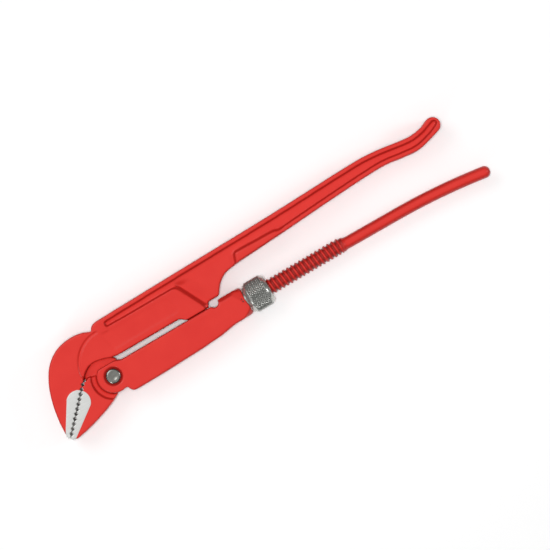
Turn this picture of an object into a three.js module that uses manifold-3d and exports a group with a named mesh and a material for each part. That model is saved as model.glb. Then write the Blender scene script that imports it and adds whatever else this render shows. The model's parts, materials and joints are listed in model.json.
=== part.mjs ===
// Swedish pattern 45 degree corner pipe wrench for 1 inch pipe, lying flat on its side.
// X runs along the tool from the jaws to the handle ends, Y across it towards the long
// handle, Z through its thickness. While it is built, y = 0 and z = 0 are the spindle axis.
import * as THREE from 'three';
import { mergeVertices } from 'three/addons/utils/BufferGeometryUtils.js';
import Module from 'manifold-3d';

const wasm = await Module();
wasm.setup();

// ---- driving dimensions, millimetres ----
const clearance = 0.3; // running gap between pieces that touch
const jawThickness = 16;
const panelThickness = 15;
const webThickness = 10;
const handleThickness = 16; // across the flanges
const flangeWidth = 3.2;
const handleEnd = 204.5; // x of the long handle's round end
const handleBend = 4; // how far the round end turns outwards
const nameplateDepth = 0.5;

const toothAngle = 47 * Math.PI / 180; // gripping faces against the spindle axis
const toothPitch = 3.24;
const toothDepth = 1.35;
const toothCount = 11;
const toothInner = [-77.6, 8]; // inner end of the tooth line

const armThickness = 17;
const armRear = 39.4;
const trackHeight = 8.2; // y of the machined track on the lower arm
const slotWidth = 5.4; // the open slot over the bore
const jawTravel = 48; // of the lower arm along the spindle, closed to fully open
const grooveFront = -78; // guide groove of the jaw's nose in the upper leg
const grooveRunOut = 3.4; // groove left behind the nose when it is fully open

const tongueThickness = 4.4; // hinge tongue of the upper leg
const eyeRadius = 4.6;
const pivot = [5.2, 0];
const pivotPinRadius = 2.4;

const rivetCentre = [-59.1, 1.4];
const rivetShankRadius = 3.2;
const rivetHeadRadius = 5.1;
const rivetHeadHeight = 0.5; // proud of the cheek
const countersinkRadius = rivetHeadRadius + 0.8;
const headSeat = 1.3; // depth below the cheek where the head is widest
const headFoot = 2.9; // depth where the countersink meets the shank's hole
const bossRadius = 10.9;
const bossTop = 9.9; // the boss is milled flat here to pass under the upper leg
const jawRecessRadius = 14.7;
const jawRingThickness = 10;
const jawTongueThickness = 6.4;
const jawTongueRadius = 10.2;
const noseHeight = 15.8;
const noseRear = -52.6;
const noseRise = 2; // how far the nose climbs when the jaw swings open

const threadPitch = 3;
const threadRadius = 5.3;
const threadDepth = 0.95;
const threadStart = 30;
const threadEnd = 111;
const shankStep = 0.2; // the plain shank is this much thinner than the thread
const rodRadius = 3.95;
const rodEnd = 217.2;
const rodBend = 5; // drop of the rod's end below its start
const rodDrop = 1.1; // the straight part lies this far below the spindle axis
const rootRadius = 4.2; // neck between the thread and the rod
const shankFrontRadius = 4.2;

const nutRadius = 10.6;
const nutLength = 16.2;
const nutFaceRadius = 8.4;
const nutChamfer = 3.2;
const collarWall = 1.3; // between the thread's bore and the collar
const collarLength = 6.6;
const ringWidth = 1.2;
const ringFromFace = 3.2;
const ringGrooveDepth = 0.7;

const shankRadius = threadRadius - shankStep;
const collarRadius = threadRadius + clearance + collarWall;

// ---- finishes ----
const red = { color: 0xd8362e, roughness: 0.45, metalness: 0.1 };
const steel = { color: 0x9a9c98, roughness: 0.4, metalness: 0.9 };
const dark = { color: 0x55565a, roughness: 0.5, metalness: 0.9 };

// ---- solids and outlines ----
function solidOf(geometry) {
  const bare = geometry.clone();
  bare.deleteAttribute('normal');
  bare.deleteAttribute('uv');
  const merged = mergeVertices(bare, 1e-4);
  const mesh = new wasm.Mesh({
    numProp: 3,
    vertProperties: new Float32Array(merged.attributes.position.array),
    triVerts: new Uint32Array(merged.index.array),
  });
  return new wasm.Manifold(mesh);
}

function geometryOf(solid) {
  const mesh = solid.getMesh();
  const geometry = new THREE.BufferGeometry();
  geometry.setAttribute('position', new THREE.BufferAttribute(new Float32Array(mesh.vertProperties), 3));
  geometry.setIndex(new THREE.BufferAttribute(new Uint32Array(mesh.triVerts), 1));
  geometry.computeVertexNormals();
  return geometry;
}

// A plate of the given thickness about z = 0, or between two heights.
function plate(shape, low, high) {
  const geometry = new THREE.ExtrudeGeometry(shape, {
    depth: high - low,
    bevelEnabled: false,
    curveSegments: 10,
  });
  geometry.translate(0, 0, low);
  return solidOf(geometry);
}

function centredPlate(shape, thickness) {
  return plate(shape, -thickness / 2, thickness / 2);
}

function polygon(points) {
  return new THREE.Shape(points.map(([x, y]) => new THREE.Vector2(x, y)));
}

// Points along one smooth curve through a few points.
function smooth(points, steps) {
  const curve = new THREE.SplineCurve(points.map(([x, y]) => new THREE.Vector2(x, y)));
  return curve.getPoints(steps).map((p) => [p.x, p.y]);
}

function arc(centre, radius, from, to, steps) {
  const points = [];
  for (let i = 0; i <= steps; i += 1) {
    const angle = from + ((to - from) * i) / steps;
    points.push([centre[0] + radius * Math.cos(angle), centre[1] + radius * Math.sin(angle)]);
  }
  return points;
}

function disc(centre, radius) {
  return polygon(arc(centre, radius, 0, 2 * Math.PI, 40).slice(0, -1));
}

function box(x0, x1, y0, y1, z0, z1) {
  return plate(polygon([[x0, y0], [x1, y0], [x1, y1], [x0, y1]]), z0, z1);
}

// A body of revolution about the spindle axis from [x, radius] pairs.
function turned(profile, segments = 40) {
  const points = profile.map(([x, radius]) => new THREE.Vector2(radius, x));
  const geometry = new THREE.LatheGeometry(points, segments);
  geometry.rotateZ(-Math.PI / 2);
  return solidOf(geometry);
}

// A bar along X between two stations from its [y, z] section.
function bar(section, x0, x1) {
  const geometry = new THREE.ExtrudeGeometry(polygon(section), { depth: x1 - x0, bevelEnabled: false });
  const turn = new THREE.Matrix4().makeBasis(
    new THREE.Vector3(0, 1, 0),
    new THREE.Vector3(0, 0, 1),
    new THREE.Vector3(1, 0, 0),
  );
  geometry.applyMatrix4(turn);
  geometry.translate(x0, 0, 0);
  return solidOf(geometry);
}

// A profile of [z, radius] pairs turned about an upright axis through a point of the plane.
function turnedUpright(centre, profile, segments = 40) {
  const points = profile.map(([z, radius]) => new THREE.Vector2(radius, z));
  const geometry = new THREE.LatheGeometry(points, segments);
  geometry.rotateX(Math.PI / 2);
  geometry.translate(centre[0], centre[1], 0);
  return solidOf(geometry);
}

// A threaded bar: crest and root run as two helices, closed by a fan at each end.
function threadedBar(start, end, crest, root) {
  const around = 20;
  const rows = 2 * Math.ceil((end - start) / threadPitch) + 4;
  const vertices = [];
  const faces = [];
  const corner = (row, column) => (column < around
    ? row * around + column
    : (row + 2) * around);
  for (let row = 0; row < rows + 2; row += 1) {
    for (let column = 0; column < around; column += 1) {
      const angle = (2 * Math.PI * column) / around;
      const x = start - 2 * threadPitch + threadPitch * (row / 2 + column / around);
      const radius = row % 2 === 0 ? crest : root;
      vertices.push(x, radius * Math.cos(angle), radius * Math.sin(angle));
    }
  }
  for (let row = 0; row < rows - 1; row += 1) {
    for (let column = 0; column < around; column += 1) {
      const a = corner(row, column);
      const b = corner(row + 1, column);
      const c = corner(row + 1, column + 1);
      const d = corner(row, column + 1);
      faces.push(a, c, b, a, d, c);
    }
  }
  const rim = (row) => {
    const loop = [];
    for (let column = 0; column <= around; column += 1) loop.push(corner(row, column));
    loop.push(corner(row + 1, 0));
    return loop;
  };
  const count = vertices.length / 3;
  vertices.push(start - 2 * threadPitch - 1, 0, 0);
  vertices.push(start + threadPitch * (rows / 2), 0, 0);
  const first = rim(0);
  const last = rim(rows - 1);
  for (let i = 0; i < first.length; i += 1) {
    const next = (i + 1) % first.length;
    faces.push(count, first[next], first[i]);
    faces.push(count + 1, last[i], last[next]);
  }
  const geometry = new THREE.BufferGeometry();
  geometry.setAttribute('position', new THREE.Float32BufferAttribute(vertices, 3));
  geometry.setIndex(faces);
  const used = geometry.toNonIndexed();
  const reach = crest + 1;
  const trim = turned([[start, 0], [start, reach], [end, reach], [end, 0]], 24);
  return solidOf(used).intersect(trim);
}

// ---- the tooth line shared by both jaws ----
const along = [-Math.cos(toothAngle), -Math.sin(toothAngle)];
const across = [-along[1], along[0]]; // from the hook's teeth towards the lower jaw
function onToothLine(distance, off) {
  return [
    toothInner[0] + along[0] * distance + across[0] * off,
    toothInner[1] + along[1] * distance + across[1] * off,
  ];
}

// Crest, groove, crest ... along one jaw; side is -1 for the hook and +1 for the lower jaw.
function toothEdge(side) {
  const points = [];
  for (let i = 0; i < toothCount; i += 1) {
    points.push(onToothLine((i + 0.1) * toothPitch, side * clearance / 2));
    points.push(onToothLine((i + 0.5) * toothPitch, side * (clearance / 2 + toothDepth)));
    points.push(onToothLine((i + 0.9) * toothPitch, side * clearance / 2));
  }
  return points;
}
const toothLength = toothCount * toothPitch;

// ---- upper leg: hook jaw, panel, hinge tongue and long handle, one forging ----
const undersideY = 11.5;
const panelTop = 31;
const lugBottom = trackHeight + clearance;
const lugFront = pivot[0] - eyeRadius;
const lugRear = pivot[0] + 8.9;
const webLugRear = lugRear + 2.9; // the web carries the lug on a little behind the panel
const throat = [[-76.4, 9.9], [-73.3, 12.7], [-69.4, 15], [-64.8, 15.4], [-58.9, 14.2], [-53.4, 12.2]];
const handleTop = [[-51, 37.5], [10, 38.7], [80, 39.9], [138, 41.8], [158, 41.2], [181, 38.1], [192, 39.4]];
const handleBottom = [
  [196, 30.4], [184, 27.5], [172, 28.4], [156, 30.1], [120, 28.4], [78, 25.6], [48, 23.9],
];
const lobe = [[48, 23.9], [37, 22.4], [31, 18.8], [28, 15.4], [25.7, 12.2]];
const tipCentre = [handleEnd - 5.4, 32.8 + handleBend];
const tipAngle = 0.45; // the round end points outwards by this much

function handleEdges(inset) {
  const upper = smooth(handleTop, 40).map(([x, y]) => [x, y - inset]);
  const half = 5.3 - inset;
  const round = arc(tipCentre, half, Math.PI / 2 + tipAngle, tipAngle - Math.PI / 2, 12);
  const lower = smooth(handleBottom, 30).map(([x, y]) => [x, y + inset]);
  return { upper, round, lower };
}

function beamOutline() {
  const { upper, round, lower } = handleEdges(0);
  const front = [[-52.8, panelTop - 1], [-54, 31.8], [-56.8, 33.9], [-55.6, 36], [-53.6, 37.1]];
  const foot = [[24.4, undersideY + 0.3], [webLugRear, undersideY + 0.3], [webLugRear - 0.6, lugBottom + 0.6],
    [webLugRear - 1.4, lugBottom], [lugRear - 2, lugBottom], [lugRear - 3, 14], [-4, 20]];
  return polygon([...front, ...upper, ...round, ...lower, ...smooth(lobe, 12).slice(1), ...foot]);
}

// The pocket that leaves the web: it runs from the front of the top flange to the handle's
// tip, and is open below the lobe. A pad stays on the lower flange behind the lobe.
function webPocket() {
  const { upper, lower } = handleEdges(flangeWidth);
  const top = upper.filter(([x]) => x > -44);
  const tip = arc([tipCentre[0] + 1.5, tipCentre[1] + 0.8], 1.7, 2, -1.2, 8);
  const bottom = lower.filter(([x]) => x > 80 && x < handleEnd - 6);
  const pad = [[79.6, 28.6], [77.4, 30], [47.6, 30.8], [44.6, 22], [42, 8], [-47, 8]];
  return polygon([[-47, 34.4], ...top, ...tip, ...bottom, ...pad]);
}

function makeUpperLeg() {
  const back = smooth([
    [-104.4, -14], [-103.8, -5], [-101.1, 8.5], [-96.5, 20.2], [-90.3, 28.9],
    [-81.6, 34.7], [-71.5, 36.7], [-63.5, 35.9], [-57.6, 33.5],
  ], 32);
  const step = smooth([[-56, 31.2], [-64.4, 29], [-70.6, 24.4], [-74.6, 18]], 8);
  const tip = [onToothLine(toothLength + 1.6, -clearance / 2), onToothLine(toothLength + 1.9, -2)];
  const behindStep = [[-53, 32.2], [-53, panelTop - 0.6]];
  const hook = polygon([...toothEdge(-1), ...tip, ...back, ...behindStep, ...step, throat[0]]);
  const panel = polygon([
    [-84, 22], throat[0], ...throat, [-50, undersideY], [-4.2, undersideY], [-3, 11], [-0.9, lugBottom + 0.3],
    [lugFront, lugBottom], [lugRear - 0.8, lugBottom], [lugRear, lugBottom + 0.8],
    [lugRear - 0.7, 12.4], [5, 29], [3.6, 30.3], [1.6, panelTop - 0.2], [-54, panelTop],
    [-58, 31.6], [-66, 32],
  ]);
  const tongue = polygon([
    [lugFront, lugBottom + 2], ...arc(pivot, eyeRadius, Math.PI, 2 * Math.PI, 16),
    [lugRear - 2.6, lugBottom - 3], [lugRear - 2.6, lugBottom + 2],
  ]);
  const nameplate = polygon([[-53.6, 28.2], [-50.4, 15.8], [-3, 15.8], [-2, 17], [-4.4, 27.2], [-6, 28.2]]);
  const half = handleThickness / 2;
  let beam = centredPlate(beamOutline(), handleThickness);
  for (const side of [-1, 1]) {
    const place = (inner) => (side > 0 ? [inner / 2, half + 1] : [-half - 1, -inner / 2]);
    beam = beam.subtract(plate(webPocket(), ...place(webThickness)));
  }
  let face = centredPlate(panel, panelThickness);
  for (const side of [-1, 1]) {
    const outer = side * (panelThickness / 2 + 1);
    const inner = side * (panelThickness / 2 - nameplateDepth);
    face = face.subtract(plate(nameplate, Math.min(outer, inner), Math.max(outer, inner)));
  }
  const guide = jawTongueThickness / 2 + clearance + 0.1;
  const grooveRear = noseRear + jawTravel + clearance + grooveRunOut;
  const groove = box(grooveFront, grooveRear, 0, noseHeight + noseRise, -guide, guide);
  const pinHole = plate(disc(pivot, pivotPinRadius + clearance), -jawThickness, jawThickness);
  return centredPlate(hook, jawThickness)
    .add(face)
    .add(beam)
    .subtract(groove)
    .add(centredPlate(tongue, tongueThickness))
    .subtract(pinHole);
}

// ---- lower arm: slotted sleeve on the spindle, forked boss for the jaw ----
const forkSlot = jawTongueThickness + 2 * clearance;
const forkEnd = rivetCentre[0] + jawTongueRadius + 0.8;
const boreRadius = threadRadius + clearance;
const counterboreRadius = collarRadius + clearance;
const nutFront = armRear + clearance;
const ringPlace = armRear - ringFromFace;
const rearSlope = 0.42; // fall of the cheek's rear corner

function makeLowerArm() {
  const bossArc = arc(rivetCentre, bossRadius, Math.PI * 0.33, Math.PI * 1.62, 30)
    .map(([x, y]) => [x, Math.min(y, bossTop)]);
  const shape = polygon([
    ...bossArc, [-53.4, -11.8], [-51.5, -13.6], [-28, -13.3], [0, -12.4], [15, -11.3], [25, -9.6],
    [armRear, -9.2], [armRear, 9.2], [38.6, 9.9], [22, 9.9], [22, trackHeight], [-49.6, trackHeight],
  ]);
  const reach = 20;
  const rearTurn = turned([
    [-80, 0], [-80, reach], [28, reach], [28, 14.5], [armRear, 9.3], [armRear, 0],
  ], 48);
  const notch = plate(disc([20.2, 9.2], 2.9), -armThickness, armThickness);
  const bore = turned([[-52, 0], [-52, boreRadius], [armRear + 1, boreRadius], [armRear + 1, 0]]);
  const counterbore = turned([
    [armRear - collarLength - clearance, 0],
    [armRear - collarLength - clearance, counterboreRadius],
    [ringPlace - clearance / 2, counterboreRadius],
    [ringPlace - clearance / 2, counterboreRadius + ringGrooveDepth],
    [ringPlace + ringWidth + clearance / 2, counterboreRadius + ringGrooveDepth],
    [ringPlace + ringWidth + clearance / 2, counterboreRadius],
    [armRear + 1, counterboreRadius],
    [armRear + 1, 0],
  ]);
  const fork = box(-80, forkEnd, -20, 20, -forkSlot / 2, forkSlot / 2);
  const slot = box(forkEnd - 4, lugRear + 3, 0, 20, -slotWidth / 2, slotWidth / 2);
  const half = armThickness / 2;
  const rivetHole = turnedUpright(rivetCentre, [
    [-half - 1, 0], [-half - 1, countersinkRadius], [headSeat - half, countersinkRadius],
    [headFoot - half, rivetShankRadius + clearance], [half - headFoot, rivetShankRadius + clearance],
    [half - headSeat, countersinkRadius], [half + 1, countersinkRadius], [half + 1, 0],
  ]);
  let body = centredPlate(shape, armThickness).intersect(rearTurn);
  for (const side of [-1, 1]) {
    // The upper rear corner of each cheek slopes down to the nut, and its top edge is bevelled.
    const down = new THREE.Vector3(-rearSlope * 0.82, -rearSlope * 0.57, -side).normalize();
    const start = new THREE.Vector3(31, 8, side * half);
    body = body.trimByPlane(down.toArray(), down.dot(start));
    const bevel = [[7.2, half + 0.1], [11, half + 0.1], [11, half - 3.7]].map(([y, z]) => [y, z * side]);
    body = body.subtract(bar(bevel, 23.4, armRear + 1));
  }
  return body
    .subtract(notch)
    .subtract(bore)
    .subtract(counterbore)
    .subtract(fork)
    .subtract(slot)
    .subtract(rivetHole);
}

// ---- lower jaw: toothed wedge with a round tongue held between the fork cheeks ----
function makeLowerJaw() {
  const belly = smooth([[-98.4, -21.6], [-88, -19.4], [-75, -15.5], [-66.6, -12.1]], 10);
  const recess = arc(rivetCentre, jawRecessRadius, Math.PI * 1.34, Math.PI * 0.84, 14);
  const nose = [[-73.6, 8.8], [-76.6, 7.2]];
  const tip = [onToothLine(toothLength + 1.6, clearance / 2), onToothLine(toothLength + 2.2, 2)];
  const wedge = polygon([...toothEdge(1), ...tip, ...belly, ...recess, ...nose]);
  const ring = polygon([
    ...arc(rivetCentre, bossRadius + clearance, Math.PI * 1.42, Math.PI * 0.82, 14),
    [-75, 8.4], [-77, 2], [-76, -10], [-72, -14], [-66.6, -12.1],
  ]);
  const tongue = polygon([
    [-76.4, 8.4], [-76, 7.4], [-74, -6], [-72, -14.2], [-66.6, -12.1],
    ...arc(rivetCentre, jawTongueRadius, Math.PI * 1.3, Math.PI * 2.25, 20),
    [noseRear, 11.4], [-56, 14.2], [-62, noseHeight], [-67.6, noseHeight], [-72.4, 13.4], [-75.6, 10.8],
  ]);
  const hole = plate(disc(rivetCentre, rivetShankRadius + clearance), -jawThickness, jawThickness);
  return centredPlate(wedge, jawThickness)
    .add(centredPlate(ring, jawRingThickness))
    .add(centredPlate(tongue, jawTongueThickness))
    .subtract(hole);
}

// ---- rivet that the lower jaw swivels on ----
function makeJawRivet() {
  const half = armThickness / 2;
  const head = (side) => [0, 0.25, 0.5, 0.75, 1].map((t) => [
    side * (half - headSeat + 0.3 + (rivetHeadHeight + headSeat - 0.3) * Math.cos((t * Math.PI) / 2)),
    rivetHeadRadius * Math.sin((t * Math.PI) / 2),
  ]);
  const neck = half - headFoot + 0.3;
  return turnedUpright(rivetCentre, [
    ...head(-1), [-neck, rivetShankRadius], [neck, rivetShankRadius], ...head(1).reverse(),
  ]);
}

// ---- spindle leg: forked eye, threaded shank and bent rod handle, one piece ----
function makeSpindleLeg() {
  const front = pivot[0] - shankRadius + 0.1;
  const shank = turned([
    [front, 0], [front, shankFrontRadius], [front + 1, shankRadius], [threadStart + 1, shankRadius],
    [threadStart + 1, 0],
  ], 32);
  const thread = threadedBar(threadStart, threadEnd, threadRadius, threadRadius - threadDepth);
  const path = new THREE.CatmullRomCurve3([
    [threadEnd - 2, -0.3], [threadEnd + 14, -0.6], [150, -rodDrop], [178, -rodDrop - rodBend * 0.3],
    [rodEnd - 3.4, -rodDrop - rodBend],
  ].map(([x, y]) => new THREE.Vector3(x, y, 0)));
  const section = disc([0, 0], rodRadius);
  const sweep = { steps: 18, extrudePath: path, bevelEnabled: false };
  const rod = solidOf(new THREE.ExtrudeGeometry(section, sweep));
  const ball = solidOf(new THREE.SphereGeometry(rodRadius, 24, 14)
    .translate(rodEnd - rodRadius, -rodDrop - rodBend * 0.98, 0));
  const root = turned([
    [threadEnd - 3, 0], [threadEnd - 3, rootRadius], [threadEnd, rootRadius],
    [threadEnd + 2.5, rodRadius - 0.25], [threadEnd + 2.5, 0],
  ], 32);
  const slotHalf = tongueThickness / 2 + clearance;
  const fork = box(front - 1, lugRear, -9, 9, -slotHalf, slotHalf);
  const pinHole = plate(disc(pivot, pivotPinRadius + clearance), -9, 9);
  return shank.add(thread).add(root).add(rod).add(ball).subtract(fork).subtract(pinHole);
}

// ---- pivot pin of the two legs, hidden in the sleeve ----
function makePivotPin() {
  const half = Math.sqrt(shankRadius ** 2 - pivotPinRadius ** 2) - clearance;
  return turnedUpright(pivot, [[-half, 0], [-half, pivotPinRadius], [half, pivotPinRadius], [half, 0]], 24);
}

// ---- adjusting nut: knurled barrel with a collar that is held in the sleeve ----
function makeNut() {
  const back = nutFront + nutLength;
  const collarFront = armRear - collarLength;
  const ringFloor = collarRadius - ringGrooveDepth;
  const body = turned([
    [collarFront, 0], [collarFront, collarRadius], [ringPlace - clearance / 2, collarRadius],
    [ringPlace - clearance / 2, ringFloor], [ringPlace + ringWidth + clearance / 2, ringFloor],
    [ringPlace + ringWidth + clearance / 2, collarRadius], [nutFront, collarRadius],
    [nutFront, nutFaceRadius], [nutFront + nutChamfer, nutRadius],
    [back - nutChamfer, nutRadius], [back, nutFaceRadius], [back, 0],
  ], 48);
  const crest = threadRadius + clearance;
  const from = threadStart - 4 * threadPitch;
  const female = threadedBar(from, back + 2 * threadPitch, crest, crest - threadDepth);
  return body.subtract(female);
}

// ---- split ring that keeps the nut in the sleeve ----
function makeRing() {
  const inner = collarRadius - ringGrooveDepth + clearance;
  const outer = counterboreRadius + ringGrooveDepth - clearance;
  const from = ringPlace + clearance / 4;
  const to = ringPlace + ringWidth - clearance / 4;
  const whole = turned([[from, inner], [from, outer], [to, outer], [to, inner], [from, inner]], 40);
  return whole.subtract(box(from - 1, to + 1, 0, 20, -1, 1));
}

// ---- assembly ----
const tool = new THREE.Group();
function addPiece(name, solid, finish) {
  const mesh = new THREE.Mesh(geometryOf(solid), new THREE.MeshStandardMaterial(finish));
  mesh.name = name;
  tool.add(mesh);
}
addPiece('upper_leg', makeUpperLeg(), red);
addPiece('lower_arm', makeLowerArm(), red);
addPiece('lower_jaw', makeLowerJaw(), red);
addPiece('jaw_rivet', makeJawRivet(), steel);
addPiece('spindle_leg', makeSpindleLeg(), red);
addPiece('pivot_pin', makePivotPin(), steel);
addPiece('adjusting_nut', makeNut(), steel);
addPiece('nut_retaining_ring', makeRing(), dark);

// The origin is the middle of the underside of the tool lying flat.
const bounds = new THREE.Box3().setFromObject(tool);
const middle = bounds.getCenter(new THREE.Vector3());
tool.position.set(-middle.x, -middle.y, -bounds.min.z);

const assembly = new THREE.Group();
assembly.add(tool);

export default assembly;
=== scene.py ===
import json
import math
import bmesh
import bpy
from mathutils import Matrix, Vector


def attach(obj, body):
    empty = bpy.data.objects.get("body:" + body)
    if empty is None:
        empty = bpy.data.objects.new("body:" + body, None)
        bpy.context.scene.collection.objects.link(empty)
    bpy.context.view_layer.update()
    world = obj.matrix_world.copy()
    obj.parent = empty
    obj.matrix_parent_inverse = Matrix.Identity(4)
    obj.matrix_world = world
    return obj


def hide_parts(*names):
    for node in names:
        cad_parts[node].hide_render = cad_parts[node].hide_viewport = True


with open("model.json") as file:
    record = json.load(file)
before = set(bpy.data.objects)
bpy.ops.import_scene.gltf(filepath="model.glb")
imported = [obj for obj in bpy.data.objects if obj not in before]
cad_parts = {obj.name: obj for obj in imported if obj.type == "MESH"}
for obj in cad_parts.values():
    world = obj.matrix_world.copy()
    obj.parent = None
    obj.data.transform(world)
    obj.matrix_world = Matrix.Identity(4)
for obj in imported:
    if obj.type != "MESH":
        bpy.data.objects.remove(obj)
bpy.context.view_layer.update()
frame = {"nodes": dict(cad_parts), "record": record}
bpy.ops.object.select_all(action="DESELECT")

# ---------------------------------------------------------------- upper leg
# The hook jaw, the panel and the long handle are one drop forging in chrome vanadium
# steel: soft edges all round, powder coated red, then ground bare on the jaw's sides.
# Sizes here and below are in mm from the spindle axis, PIN_X ahead of the hinge pin.
MM = 0.001
PIN_X = 5.2
FORGED_GRAIN = 0.45      # mesh size of a forging
FORGED_ROUNDS = 36       # passes that soften its edges
EXTRA_ROUNDS = 60        # further passes where a piece is rounder still
EDGE_SHADE = 0.5         # how much painted shade darkens the coat on a softened edge
TOOTH_STRIP = 2.2        # half the width of the strip that stays crisp for the teeth
TOOTH_SOFTNESS = 0.02
TOOTH_ANGLE = math.radians(47)
TOOTH_INNER = (-77.6, 8.0)
GROUND_CENTRE = 13.4     # round end of the ground patch, along the tooth line
GROUND_RADIUS = 7.9
GROUND_TAPER = 0.19      # how fast the patch narrows towards the tip
GROUND_DEPTH = 0.25      # how far the stone has cut in
JAW_HALF = 8.0           # half the jaws' thickness
joints = {joint["name"]: joint for joint in frame["record"]["behaviour"]["joints"]}
datum = Vector(joints["handle_swing"]["pos_m"]) - Vector((PIN_X * MM, 0, 0))


def place(x, y, z=0.0):
    """A point in mm from the datum, in metres in the frame."""
    return datum + Vector((x, y, z)) * MM


def edit(piece):
    """Makes this piece the only one selected and opens it in edit mode."""
    bpy.ops.object.select_all(action="DESELECT")
    piece.select_set(True)
    bpy.context.view_layer.objects.active = piece
    bpy.ops.object.mode_set(mode="EDIT")
    return bmesh.from_edit_mesh(piece.data)


def close_edit(piece):
    bpy.ops.object.mode_set(mode="OBJECT")
    piece.select_set(False)


def modify(piece, kind, **settings):
    """Adds one modifier and applies it."""
    bpy.ops.object.select_all(action="DESELECT")
    piece.select_set(True)
    bpy.context.view_layer.objects.active = piece
    modifier = piece.modifiers.new(kind.title(), kind)
    for name, value in settings.items():
        setattr(modifier, name, value)
    bpy.ops.object.modifier_apply(modifier=modifier.name)
    piece.select_set(False)


def along_teeth(x, y):
    """How far a point lies along the tooth line from its inner end, and off to one side of it."""
    dx = x - TOOTH_INNER[0]
    dy = y - TOOTH_INNER[1]
    along = -dx * math.cos(TOOTH_ANGLE) - dy * math.sin(TOOTH_ANGLE)
    off = dx * math.sin(TOOTH_ANGLE) - dy * math.cos(TOOTH_ANGLE)
    return along, off


def ground_edge(x, y):
    """Distance outside the edge of the ground patch, negative inside it."""
    along, off = along_teeth(x, y)
    short = max(0.0, GROUND_CENTRE - along)
    radius = GROUND_RADIUS - GROUND_TAPER * max(0.0, along - GROUND_CENTRE)
    return math.hypot(short, off) - radius


def smoothstep(value):
    value = min(1.0, max(0.0, value))
    return value * value * (3 - 2 * value)


def forging(node, name, rounder, grain=FORGED_GRAIN, rounds=FORGED_ROUNDS, more_rounds=EXTRA_ROUNDS):
    """A forged skin over the exact shape of a node: closed, even mesh, all edges softened.

    rounder says, from a point's place, how much more an edge there is rounded, 0 to 1.
    """
    piece = bpy.data.objects.new(name, frame["nodes"][node].data.copy())
    bpy.context.collection.objects.link(piece)
    piece.data.materials.clear()
    edit(piece)
    bpy.ops.mesh.select_all(action="SELECT")
    bpy.ops.mesh.remove_doubles(threshold=1e-6)
    close_edit(piece)
    modify(piece, "REMESH", mode="VOXEL", voxel_size=grain * MM)
    soft = piece.vertex_groups.new(name="soft")
    softer = piece.vertex_groups.new(name="softer")
    for vertex in piece.data.vertices:
        x, y, z = (vertex.co - datum) / MM
        along, off = along_teeth(x, y)
        near_teeth = abs(off) < TOOTH_STRIP and along > -1 and x < TOOTH_INNER[0] + 2
        soft.add([vertex.index], TOOTH_SOFTNESS if near_teeth else 1.0, "REPLACE")
        softer.add([vertex.index], rounder(x, y, z), "REPLACE")
    modify(piece, "SMOOTH", factor=0.5, iterations=rounds, vertex_group="soft")
    modify(piece, "SMOOTH", factor=0.5, iterations=more_rounds, vertex_group="softer")
    return piece


def grind_sides(piece):
    """Cuts the bare patch a little way into both sides of a jaw."""
    for vertex in piece.data.vertices:
        x, y, z = (vertex.co - datum) / MM
        if abs(z) < JAW_HALF - 1.2:
            continue
        share = smoothstep(0.5 - ground_edge(x, y) / 0.7)
        flat = JAW_HALF - GROUND_DEPTH
        if abs(z) > flat:
            vertex.co.z += math.copysign((flat - abs(z)) * share * MM, z)


def smooth_shade(piece, angle=40):
    bpy.ops.object.select_all(action="DESELECT")
    piece.select_set(True)
    bpy.context.view_layer.objects.active = piece
    bpy.ops.object.shade_smooth_by_angle(angle=math.radians(angle))
    piece.select_set(False)


def srgb(hex_value, alpha=1.0):
    """An sRGB hex colour as linear values."""
    channels = [int(hex_value[i:i + 2], 16) / 255 for i in (0, 2, 4)]
    linear = [c / 12.92 if c <= 0.04045 else ((c + 0.055) / 1.055) ** 2.4 for c in channels]
    return (*linear, alpha)


def add(tree, kind, settings=None, **inputs):
    """Adds a node; an input is a value, or a socket to link from."""
    new = tree.nodes.new("ShaderNode" + kind)
    for name, value in (settings or {}).items():
        setattr(new, name, value)
    for name, value in inputs.items():
        key = int(name[1:]) if name[0] == "i" and name[1:].isdigit() else name.replace("_", " ")
        if isinstance(value, bpy.types.NodeSocket):
            tree.links.new(value, new.inputs[key])
        else:
            new.inputs[key].default_value = value
    return new


def new_material(name):
    material = bpy.data.materials.new(name)
    material.use_nodes = True
    tree = material.node_tree
    tree.nodes.clear()
    return material, tree


def scale_of(size_mm):
    """Texture scale whose features are about this many millimetres across."""
    return 1 / (size_mm * MM)


def calculate(tree, operation, first, second=0.0):
    return add(tree, "Math", {"operation": operation}, i0=first, i1=second).outputs[0]


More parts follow.
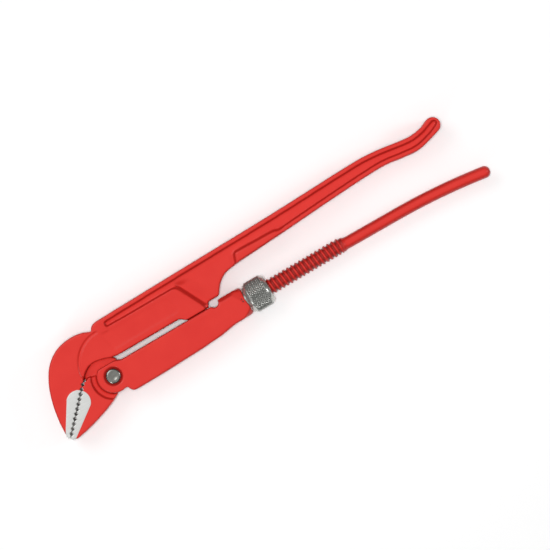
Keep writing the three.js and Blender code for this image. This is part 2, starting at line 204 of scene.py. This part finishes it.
def paint_shader(tree, coords):
    # Thermosetting powder coat: a deep even red with a faint orange peel and a clear gloss.
    # Painted shade: the red is darkened round every softened edge, between the flat faces and the
    # upright sides, by which way the surface faces.
    tone = add(tree, "TexNoise", Vector=coords, Scale=scale_of(14), Detail=3.0)
    colour = add(tree, "Mix", {"data_type": "RGBA"}, Factor=tone.outputs["Fac"],
                 i6=srgb("D62C26"), i7=srgb("E0372E"))
    normal = add(tree, "SeparateXYZ", Vector=add(tree, "TexCoord").outputs["Normal"]).outputs[2]
    level = calculate(tree, "ABSOLUTE", normal)
    off_face = add(tree, "MapRange", Value=level, From_Min=0.98, From_Max=0.7).outputs["Result"]
    off_side = add(tree, "MapRange", Value=level, From_Min=0.0, From_Max=0.35).outputs["Result"]
    edge = calculate(tree, "MULTIPLY", off_face, off_side)
    shade = calculate(tree, "MULTIPLY", edge, EDGE_SHADE)
    colour = add(tree, "Mix", {"data_type": "RGBA"}, Factor=shade, i6=colour.outputs[2], i7=srgb("8F1712"))
    hammer = add(tree, "TexNoise", Vector=coords, Scale=scale_of(5), Detail=2.0)
    peel = add(tree, "TexNoise", Vector=coords, Scale=scale_of(1.1), Detail=1.0)
    waves = add(tree, "Bump", Height=hammer.outputs["Fac"], Strength=0.35, Distance=0.25 * MM)
    skin = add(tree, "Bump", Height=peel.outputs["Fac"], Strength=0.25, Distance=0.05 * MM,
               Normal=waves.outputs["Normal"])
    gloss = add(tree, "MapRange", Value=tone.outputs["Fac"], To_Min=0.30, To_Max=0.42)
    return add(tree, "BsdfPrincipled", Base_Color=colour.outputs[2], Roughness=gloss.outputs["Result"],
               Normal=skin.outputs["Normal"], IOR=1.42, Coat_Weight=0.1, Coat_Roughness=0.12)


def ground_shader(tree, coords):
    # Hardened steel off a grinding stone: near white, with fine parallel scratches.
    lines = add(tree, "Mapping", Vector=coords, Rotation=(0, 0, -TOOTH_ANGLE),
                Scale=(scale_of(6), scale_of(0.5), scale_of(6)))
    grit = add(tree, "TexNoise", Vector=lines.outputs["Vector"], Scale=1.0, Detail=4.0)
    tint = add(tree, "Mix", {"data_type": "RGBA"}, Factor=grit.outputs["Fac"],
               i6=srgb("E0E1DE"), i7=srgb("FAFBF8"))
    cut = add(tree, "Bump", Height=grit.outputs["Fac"], Strength=0.3, Distance=0.03 * MM)
    rough = add(tree, "MapRange", Value=grit.outputs["Fac"], To_Min=0.32, To_Max=0.5)
    return add(tree, "BsdfPrincipled", Base_Color=tint.outputs[2], Metallic=0.5,
               Roughness=rough.outputs["Result"], Normal=cut.outputs["Normal"])


def jaw_paint(name):
    """Powder coat that the stone has taken off the jaw's sides and the cutter off its teeth."""
    material, tree = new_material(name)
    coords = add(tree, "TexCoord").outputs["Object"]
    paint = paint_shader(tree, coords)
    bare = ground_shader(tree, coords)
    inner = place(*TOOTH_INNER)
    turned = add(tree, "Mapping", {"vector_type": "TEXTURE"}, Vector=coords, Location=inner,
                 Rotation=(0, 0, TOOTH_ANGLE + math.pi))
    axes = add(tree, "SeparateXYZ", Vector=turned.outputs["Vector"])
    along, off = axes.outputs[0], axes.outputs[1]
    beyond = calculate(tree, "SUBTRACT", along, GROUND_CENTRE * MM)
    short = calculate(tree, "MINIMUM", beyond, 0.0)
    long = calculate(tree, "MAXIMUM", beyond, 0.0)
    square = calculate(tree, "ADD", calculate(tree, "MULTIPLY", short, short),
                       calculate(tree, "MULTIPLY", off, off))
    reach = calculate(tree, "SQRT", square)
    radius = calculate(tree, "SUBTRACT", GROUND_RADIUS * MM, calculate(tree, "MULTIPLY", long, GROUND_TAPER))
    outside = calculate(tree, "SUBTRACT", reach, radius)
    patch = add(tree, "MapRange", Value=outside, From_Min=-0.25 * MM, From_Max=0.1 * MM,
                To_Min=1.0, To_Max=0.0).outputs["Result"]
    height = add(tree, "SeparateXYZ", Vector=coords).outputs[2]
    lift = calculate(tree, "ABSOLUTE", calculate(tree, "SUBTRACT", height, datum.z))
    side = add(tree, "MapRange", Value=lift, From_Min=(JAW_HALF - 0.75) * MM,
               From_Max=(JAW_HALF - 0.6) * MM).outputs["Result"]
    on_side = calculate(tree, "MULTIPLY", patch, side)
    aside = calculate(tree, "ABSOLUTE", off)
    teeth = add(tree, "MapRange", Value=aside, From_Min=1.35 * MM, From_Max=1.5 * MM,
                To_Min=1.0, To_Max=0.0).outputs["Result"]
    started = add(tree, "MapRange", Value=along, From_Min=-0.4 * MM, From_Max=0.0).outputs["Result"]
    in_cut = calculate(tree, "MULTIPLY", teeth, started)
    on_teeth = calculate(tree, "MULTIPLY", in_cut, calculate(tree, "SUBTRACT", 1.0, side))
    mask = calculate(tree, "MAXIMUM", on_side, on_teeth)
    both = add(tree, "MixShader", Fac=mask, i1=paint.outputs[0], i2=bare.outputs[0])
    add(tree, "OutputMaterial", Surface=both.outputs[0])
    return material


powder_coat_jaws = jaw_paint("red_powder_coat_ground_jaw")
PANEL_CORNER = (4.5, 29.5)
PANEL_FOOT = (13.6, 11.5)
HOLLOW_DEPTH = 1.9       # of the web just behind the panel
STEP_CENTRE = (-54.8, 9.6)
STEP_RADIUS = 21.6       # of the round step between the hook and the panel
STEP_DEPTH = 0.7
PAD = (42, 84)           # the raised pad behind the lobe, from and to
WEB_SIDE = 3             # no rounding is added closer to the middle than this
MOST_ROUND = 0.9


def behind_panel(x, y):
    """How far a point lies behind the panel's slanted rear edge."""
    share = (y - PANEL_FOOT[1]) / (PANEL_CORNER[1] - PANEL_FOOT[1])
    return x - PANEL_FOOT[0] - (PANEL_CORNER[0] - PANEL_FOOT[0]) * share


def rounder_upper(x, y, z):
    """The web's hollow, the pad behind the lobe and the panel's lower edge are the softest."""
    near = smoothstep(1 - abs(behind_panel(x, y) - 1.5) / 4) if 11 < y < 31 else 0.0
    below = smoothstep((14.5 - y) / 2) * (-54 < x < -4) * (y > 9)
    on_pad = smoothstep((x - PAD[0]) / 3) * smoothstep((PAD[1] - x) / 3) * smoothstep((34 - y) / 2)
    return MOST_ROUND * max(near, below, on_pad) * (abs(z) > WEB_SIDE)


def blend_sides(piece):
    """Sinks the web behind the panel and a soft step round the hook into both sides."""
    for vertex in piece.data.vertices:
        x, y, z = (vertex.co - datum) / MM
        if abs(z) < 3.5 or y < 11 or x > 40:
            continue
        past = behind_panel(x, y)
        hollow = smoothstep((past - 0.2) / 2.2) * smoothstep((14 - past) / 11) * smoothstep((34 - y) / 5)
        off = math.hypot(x - STEP_CENTRE[0], y - STEP_CENTRE[1]) - STEP_RADIUS
        on_step = smoothstep((-52 - x) / 3) * smoothstep(1 - abs(off) / 1.6)
        sink = HOLLOW_DEPTH * hollow + STEP_DEPTH * on_step
        vertex.co.z -= math.copysign(sink * MM, z)


upper = forging("upper_leg", "upper_leg_forging", rounder_upper)
blend_sides(upper)
grind_sides(upper)
modify(upper, "DECIMATE", ratio=0.5)
smooth_shade(upper)
upper.data.materials.append(powder_coat_jaws)
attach(upper, "hook_leg")
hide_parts("upper_leg")

# ---------------------------------------------------------------- pivot pin
# A plain hardened dowel through the upper leg's eye and the spindle's fork, out of sight
# in the bore of the sleeve. Its shape is right as it stands, so it only gets its steel.


def steel_shader(tree, coords, dark, light, rough_low, rough_high, size_mm):
    patch = add(tree, "TexNoise", Vector=coords, Scale=scale_of(size_mm), Detail=4.0)
    tint = add(tree, "Mix", {"data_type": "RGBA"}, Factor=patch.outputs["Fac"],
               i6=srgb(dark), i7=srgb(light))
    rough = add(tree, "MapRange", Value=patch.outputs["Fac"], To_Min=rough_low, To_Max=rough_high)
    return add(tree, "BsdfPrincipled", Base_Color=tint.outputs[2], Metallic=1.0,
               Roughness=rough.outputs["Result"])


def steel(name, dark, light, rough_low, rough_high, size_mm):
    material, tree = new_material(name)
    coords = add(tree, "TexCoord").outputs["Object"]
    metal = steel_shader(tree, coords, dark, light, rough_low, rough_high, size_mm)
    add(tree, "OutputMaterial", Surface=metal.outputs[0])
    return material


oiled_steel = steel("oiled_spring_steel", "4A4B4E", "6E6F72", 0.3, 0.45, 3)
for hidden in ("pivot_pin", "nut_retaining_ring"):
    slots = frame["nodes"][hidden].data.materials
    slots.clear()
    slots.append(oiled_steel)

# ---------------------------------------------------------------- spindle leg
# One length of round bar: forked and drilled at the front, rolled with a coarse 3 mm
# thread, drawn down to a plain rod and bent by hand at the end. Powder coated red.
SHANK_RADIUS = 5.05
THREAD_RADIUS = 5.28
THREAD_DEPTH = 0.95
THREAD_PITCH = 3.0
THREAD_START = 30.0
THREAD_END = 110.6
ROD_RADIUS = 3.93
ROD_END = 217.0
BEND_START = 150.0
BEND_RATE = 0.00112      # drop per square millimetre past the start of the bend
FORK_HALF = 2.5
FORK_DEPTH = 14.1
EYE_RADIUS = 2.7
NECK = 0.75              # how much thicker the rod starts behind the thread
NECK_LENGTH = 2.6
NOSE = 0.9               # how much the shank's front end is rounded off


def rod_centre(x):
    """How far the bar's middle lies off the spindle axis."""
    drop = -0.6 * smoothstep((x - THREAD_END + 6) / 12)
    drop -= 0.0105 * max(0.0, x - THREAD_END - 2)
    return drop - BEND_RATE * max(0.0, x - BEND_START) ** 2


def thread_form(turn):
    """Depth of a rolled thread at this fraction of a turn: rounded crest, wider round root."""
    wave = 0.5 - 0.5 * math.cos(2 * math.pi * turn)
    return smoothstep(wave * 1.15 - 0.05)


def bar_radius(x, angle):
    if x > ROD_END - ROD_RADIUS:
        past = min(ROD_RADIUS, x - ROD_END + ROD_RADIUS)
        return math.sqrt(max(0.02, ROD_RADIUS ** 2 - past ** 2))
    if x > THREAD_END:
        return ROD_RADIUS + NECK * (1 - smoothstep((x - THREAD_END) / NECK_LENGTH))
    if x < THREAD_START:
        return SHANK_RADIUS - NOSE * (1 - smoothstep((x - PIN_X + 5) / 1.2))
    turn = (x - THREAD_START) / THREAD_PITCH - angle / (2 * math.pi)
    run_in = smoothstep((x - THREAD_START) / 2) * smoothstep((THREAD_END - x) / 2.4)
    fading = THREAD_RADIUS - (1 - run_in) * NECK
    return fading - THREAD_DEPTH * run_in * thread_form(turn)


def cut_lengthwise(piece, *rounds):
    """Cuts every edge that runs along the bar into more pieces, in one round after another."""
    for cuts in rounds:
        mesh = edit(piece)
        bpy.ops.mesh.select_mode(type="EDGE")
        bpy.ops.mesh.select_all(action="DESELECT")
        for edge in mesh.edges:
            run = edge.verts[0].co - edge.verts[1].co
            edge.select_set(abs(run.x) > 0.9 * run.length)
        bmesh.update_edit_mesh(piece.data)
        bpy.ops.mesh.subdivide(number_cuts=cuts)
        close_edit(piece)


front = PIN_X - 5
length = ROD_END - front
bpy.ops.mesh.primitive_cylinder_add(
    vertices=56, radius=SHANK_RADIUS * MM, depth=length * MM,
    location=place(front + length / 2, 0), rotation=(0, math.pi / 2, 0))
spindle = bpy.context.object
spindle.name = "spindle_leg_bar"
bpy.ops.object.transform_apply(location=True, rotation=True, scale=True)
cut_lengthwise(spindle, 35, 23)
for vertex in spindle.data.vertices:
    x, y, z = (vertex.co - datum) / MM
    angle = math.atan2(z, y)
    radius = bar_radius(x, angle)
    slope = (rod_centre(x + 0.5) - rod_centre(x - 0.5)) if x > THREAD_END - 6 else 0.0
    out = radius * math.cos(angle)
    vertex.co = place(x - slope * out, rod_centre(x) + out, radius * math.sin(angle))


def cutter(low, high):
    """A block between two corners, for a boolean."""
    size = [(b - a) * MM for a, b in zip(low, high)]
    middle = [(a + b) / 2 for a, b in zip(low, high)]
    bpy.ops.mesh.primitive_cube_add(size=1, location=place(*middle), scale=size)
    block = bpy.context.object
    bpy.ops.object.transform_apply(location=True, rotation=True, scale=True)
    block.select_set(False)
    return block


def cut_away(piece, tool):
    modify(piece, "BOOLEAN", operation="DIFFERENCE", object=tool, solver="EXACT")
    bpy.data.objects.remove(tool)


def drill(x, y, radius, reach, segments=40):
    bpy.ops.mesh.primitive_cylinder_add(vertices=segments, radius=radius * MM, depth=2 * reach * MM,
                                        location=place(x, y))
    bit = bpy.context.object
    bpy.ops.object.transform_apply(location=True, rotation=True, scale=True)
    bit.select_set(False)
    return bit


cut_away(spindle, cutter((front - 1, -9, -FORK_HALF), (FORK_DEPTH, 9, FORK_HALF)))
cut_away(spindle, drill(PIN_X, 0, EYE_RADIUS, 9))
smooth_shade(spindle, 35)


def off_axis(tree, coords):
    """Distance of a point from the spindle axis, and how far along it the point is."""
    axis = add(tree, "Mapping", {"vector_type": "TEXTURE"}, Vector=coords, Location=place(0, 0))
    axes = add(tree, "SeparateXYZ", Vector=axis.outputs["Vector"])
    square = calculate(tree, "ADD", calculate(tree, "MULTIPLY", axes.outputs[1], axes.outputs[1]),
                       calculate(tree, "MULTIPLY", axes.outputs[2], axes.outputs[2]))
    return calculate(tree, "SQRT", square), axes.outputs[0]


def spindle_coat(name):
    # The same powder coat, with painted shade in the thread's roots: a dark red mixed in
    #     # the deeper the surface lies below the crests.
    material, tree = new_material(name)
    coords = add(tree, "TexCoord").outputs["Object"]
    paint = paint_shader(tree, coords)
    root_shade = add(tree, "BsdfPrincipled", Base_Color=srgb("5A1512"), Roughness=0.5)
    reach, run = off_axis(tree, coords)
    deep = add(tree, "MapRange", Value=reach, From_Min=(THREAD_RADIUS - THREAD_DEPTH) * MM,
               From_Max=(THREAD_RADIUS - 0.3 * THREAD_DEPTH) * MM, To_Min=0.6, To_Max=0.0).outputs["Result"]
    on_thread = add(tree, "MapRange", Value=run, From_Min=(THREAD_END + 1) * MM,
                    From_Max=(THREAD_END + 0.5) * MM).outputs["Result"]
    both = add(tree, "MixShader", Fac=calculate(tree, "MULTIPLY", deep, on_thread),
               i1=paint.outputs[0], i2=root_shade.outputs[0])
    add(tree, "OutputMaterial", Surface=both.outputs[0])
    return material


spindle.data.materials.append(spindle_coat("red_powder_coat_shaded_thread_roots"))
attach(spindle, "spindle")
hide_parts("spindle_leg")

# ---------------------------------------------------------------- lower arm
# The sleeve is a forging too, bored through for the spindle, milled along its top as a
# track, and slotted at the front so that two cheeks hold the swivel jaw.


UNDERSIDE = -8.2         # the rounding starts below this height
BOSS_REAR = -52


def rounder_arm(x, y, z):
    """The sleeve's underside is rounded over, and the milled track and cheeks stay crisper."""
    return MOST_ROUND * smoothstep((UNDERSIDE - y) / 2) if x > BOSS_REAR else 0.0


arm = forging("lower_arm", "lower_arm_forging", rounder_arm, grain=0.4)
smooth_shade(arm)


def powder_coat(name):
    material, tree = new_material(name)
    coords = add(tree, "TexCoord").outputs["Object"]
    paint = paint_shader(tree, coords)
    add(tree, "OutputMaterial", Surface=paint.outputs[0])
    return material


arm.data.materials.append(powder_coat("red_powder_coat"))
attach(arm, "arm")
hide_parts("lower_arm")

# ---------------------------------------------------------------- lower jaw
# A forged wedge with teeth cut across it and a thin round tongue between the cheeks. Its
# sides were ground together with the hook's, so the bare patch runs over both.


def rounder_jaw(x, y, z):
    """The belly under the teeth is rounded over."""
    along, off = along_teeth(x, y)
    return 0.6 * smoothstep((off - 5) / 3)


jaw = forging("lower_jaw", "lower_jaw_forging", rounder_jaw, grain=0.34)
grind_sides(jaw)
smooth_shade(jaw)
jaw.data.materials.append(powder_coat_jaws)
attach(jaw, "jaw")
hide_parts("lower_jaw")

# ---------------------------------------------------------------- jaw rivet
# A bare steel rivet through both cheeks, its ends set over in the countersinks into low
# domes with a shallow dimple from the setting tool.
RIVET_SHANK = 3.2
RIVET_HALF = 5.9         # where the heads start to flare
RIVET_HEAD = ((7.2, 4.9), (7.5, 5.08), (7.8, 5.05), (8.2, 4.85), (8.55, 4.5), (8.8, 4.0), (8.9, 3.5),
              (8.88, 3.0), (8.75, 2.5), (8.55, 1.9), (8.4, 1.2), (8.35, 0.5))
rivet_at = (Vector(joints["jaw_swivel"]["pos_m"]) - datum) / MM
bpy.ops.mesh.primitive_cylinder_add(vertices=64, radius=RIVET_SHANK * MM, depth=2 * RIVET_HALF * MM,
                                    location=place(rivet_at.x, rivet_at.y))
rivet = bpy.context.object
rivet.name = "jaw_rivet_domed"
bpy.ops.object.transform_apply(location=True, rotation=True, scale=True)
for side in (-1, 1):
    mesh = edit(rivet)
    bpy.ops.mesh.select_mode(type="FACE")
    bpy.ops.mesh.select_all(action="DESELECT")
    for face in mesh.faces:
        face.select_set(face.normal.z * side > 0.9)
    bmesh.update_edit_mesh(rivet.data)
    last_height, last_radius = RIVET_HALF, RIVET_SHANK
    for height, radius in RIVET_HEAD:
        bpy.ops.mesh.extrude_region_move(
            TRANSFORM_OT_translate={"value": (0, 0, side * (height - last_height) * MM)})
        shrink = radius / last_radius
        bpy.ops.transform.resize(value=(shrink, shrink, 1), center_override=place(rivet_at.x, rivet_at.y))
        last_height, last_radius = height, radius
    close_edit(rivet)
smooth_shade(rivet, 50)
rivet.data.materials.append(steel("bare_rivet_steel", "90908A", "BEBEB7", 0.2, 0.32, 2.5))
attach(rivet, "arm")
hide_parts("jaw_rivet")

# ---------------------------------------------------------------- adjusting nut
# Turned from bar, diamond knurled over its full diameter for a finger grip, chamfered at
# both faces and left bare. A collar in front runs in the sleeve.
NUT_FRONT = 39.7
NUT_LENGTH = 16.2
NUT_MIDDLE = NUT_FRONT + NUT_LENGTH / 2
NUT_RADIUS = 10.58
NUT_FACE_RADIUS = 8.4
NUT_CHAMFER = 3.2
COLLAR_RADIUS = 6.85
COLLAR_LENGTH = 6.9
BORE_RADIUS = 5.62
LEAD_IN = 0.7            # chamfer where the spindle enters the nut
KNURL_AROUND = 38        # a real 1.2 mm knurl is too fine to show, so it is drawn 1.7 mm apart
KNURL_DEPTH = 0.5
KNURL_PITCH = 2 * math.pi * NUT_RADIUS / KNURL_AROUND


def saw(turns):
    """A triangle wave from 0 to 1 and back."""
    return abs(2 * (turns - math.floor(turns)) - 1)


def nut_radius(x, angle):
    inside = min(x - NUT_FRONT, NUT_FRONT + NUT_LENGTH - x)
    share = min(1.0, max(0.0, inside / NUT_CHAMFER))
    rounded = share - 0.06 * (1 - math.cos(2 * math.pi * share)) * (share - 1)
    envelope = NUT_FACE_RADIUS + (NUT_RADIUS - NUT_FACE_RADIUS) * rounded
    around = angle / (2 * math.pi) * KNURL_AROUND
    run = x / KNURL_PITCH
    ridge = min(saw(around + run), saw(around - run))
    cut = smoothstep((share - 0.7) / 0.25)
    return envelope - KNURL_DEPTH * cut * (1 - ridge)


bpy.ops.mesh.primitive_cylinder_add(
    vertices=KNURL_AROUND * 10, radius=NUT_RADIUS * MM, depth=NUT_LENGTH * MM,
    location=place(NUT_MIDDLE, 0), rotation=(0, math.pi / 2, 0))
nut = bpy.context.object
nut.name = "adjusting_nut_knurled"
bpy.ops.object.transform_apply(location=True, rotation=True, scale=True)
cut_lengthwise(nut, 9, 7)
for vertex in nut.data.vertices:
    x, y, z = (vertex.co - datum) / MM
    angle = math.atan2(z, y)
    radius = nut_radius(x, angle)
    vertex.co = place(x, radius * math.cos(angle), radius * math.sin(angle))
mesh = edit(nut)
bpy.ops.mesh.select_mode(type="FACE")


def select_face(mesh, piece, side):
    """Selects the one flat end that looks along x on this side."""
    bpy.ops.mesh.select_all(action="DESELECT")
    ends = [face for face in mesh.faces if len(face.verts) > 20 and face.normal.x * side > 0.9]
    ends[0].select_set(True)
    bmesh.update_edit_mesh(piece.data)


def scale_end(factor):
    bpy.ops.transform.resize(value=(1, factor, factor), center_override=place(0, 0))


select_face(mesh, nut, -1)
bpy.ops.mesh.extrude_region_move()
scale_end(COLLAR_RADIUS / NUT_FACE_RADIUS)
bpy.ops.mesh.extrude_region_move(TRANSFORM_OT_translate={"value": (-COLLAR_LENGTH * MM, 0, 0)})
bpy.ops.mesh.extrude_region_move()
scale_end(BORE_RADIUS / COLLAR_RADIUS)
mesh = bmesh.from_edit_mesh(nut.data)
select_face(mesh, nut, 1)
bpy.ops.mesh.extrude_region_move()
scale_end((BORE_RADIUS + LEAD_IN) / NUT_FACE_RADIUS)
bpy.ops.mesh.extrude_region_move(TRANSFORM_OT_translate={"value": (-LEAD_IN * MM, 0, 0)})
scale_end(BORE_RADIUS / (BORE_RADIUS + LEAD_IN))
mesh = bmesh.from_edit_mesh(nut.data)
bpy.ops.mesh.select_all(action="DESELECT")
for face in mesh.faces:
    face.select_set(len(face.verts) > 20)
bmesh.update_edit_mesh(nut.data)
bpy.ops.mesh.bridge_edge_loops()
bpy.ops.mesh.select_all(action="SELECT")
bpy.ops.mesh.normals_make_consistent(inside=False)
close_edit(nut)
smooth_shade(nut, 30)


def knurled_steel(name):
    # Bright turned steel, with painted shade in the knurl: a dark grey mixed in between the
    #     # diamonds, darker the deeper the surface lies.
    material, tree = new_material(name)
    coords = add(tree, "TexCoord").outputs["Object"]
    metal = steel_shader(tree, coords, "A4A5A0", "DADBD6", 0.18, 0.34, 1.2)
    metal.inputs["Metallic"].default_value = 0.75
    knurl_shade = add(tree, "BsdfPrincipled", Base_Color=srgb("3C3C39"), Roughness=0.6)
    reach, run = off_axis(tree, coords)
    deep = add(tree, "MapRange", Value=reach, From_Min=(NUT_RADIUS - KNURL_DEPTH) * MM,
               From_Max=(NUT_RADIUS - 0.35 * KNURL_DEPTH) * MM, To_Min=0.75, To_Max=0.0).outputs["Result"]
    from_middle = calculate(tree, "ABSOLUTE", calculate(tree, "SUBTRACT", run, NUT_MIDDLE * MM))
    on_band = add(tree, "MapRange", Value=from_middle, From_Min=(NUT_LENGTH / 2 - NUT_CHAMFER) * MM,
                  From_Max=(NUT_LENGTH / 2 - NUT_CHAMFER + 0.6) * MM,
                  To_Min=1.0, To_Max=0.0).outputs["Result"]
    both = add(tree, "MixShader", Fac=calculate(tree, "MULTIPLY", deep, on_band),
               i1=metal.outputs[0], i2=knurl_shade.outputs[0])
    add(tree, "OutputMaterial", Surface=both.outputs[0])
    return material


nut.data.materials.append(knurled_steel("knurled_bright_steel"))
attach(nut, "nut")
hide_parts("adjusting_nut")

# ---------------------------------------------------------------- studio
# A plain pale floor under the tool, a pale sky, and large soft lights on both sides.
SHEET_WIDTH = 354.6      # width of the picture at the middle of the tool, mm
LOOK_AT = (63.2, 4.94)
TOOL_TILT = math.radians(30.4)
CAMERA_DISTANCE = 1500.0

bpy.ops.mesh.primitive_plane_add(size=6, location=(0, 0, 0))
floor = bpy.context.object
floor.name = "floor"
floor_paint, tree = new_material("pale_matt_floor")
matt = add(tree, "BsdfPrincipled", Base_Color=srgb("FFFFFF"), Roughness=0.9)
add(tree, "OutputMaterial", Surface=matt.outputs[0])
floor.data.materials.append(floor_paint)

world = bpy.data.worlds.new("pale_sky")
bpy.context.scene.world = world
world.use_nodes = True
world.node_tree.nodes["Background"].inputs["Color"].default_value = srgb("FFFFFF")
world.node_tree.nodes["Background"].inputs["Strength"].default_value = 0.05


def soft_light(name, position, size, power):
    light = bpy.data.lights.new(name, "AREA")
    light.size = size
    light.energy = power
    lamp = bpy.data.objects.new(name, light)
    lamp.location = position
    lamp.rotation_euler = (-Vector(position)).to_track_quat("-Z", "Y").to_euler()
    bpy.context.collection.objects.link(lamp)
    return lamp


soft_light("overhead_panel", (-0.2, 0.15, 1.62), 3.2, 14)
soft_light("upper_left_panel", (-0.55, 0.95, 1.2), 0.9, 4)
soft_light("right_softbox", (0.75, -0.15, 0.5), 0.2, 1.0)
soft_light("left_softbox", (-0.7, -0.45, 0.45), 0.2, 0.8)
# The key lights the slots and the floor from straight above without glaring in the paint.
key = soft_light("key", (-0.03, 0.0, 1.6), 0.2, 14)
key.visible_glossy = False

camera_data = bpy.data.cameras.new("camera")
camera_data.sensor_width = 36
camera_data.lens = 36 * CAMERA_DISTANCE / SHEET_WIDTH
camera = bpy.data.objects.new("camera", camera_data)
camera.location = place(*LOOK_AT, CAMERA_DISTANCE)
camera.rotation_euler = (0, 0, -TOOL_TILT)
bpy.context.collection.objects.link(camera)
bpy.context.scene.camera = camera
bpy.context.scene.view_settings.view_transform = "Standard"
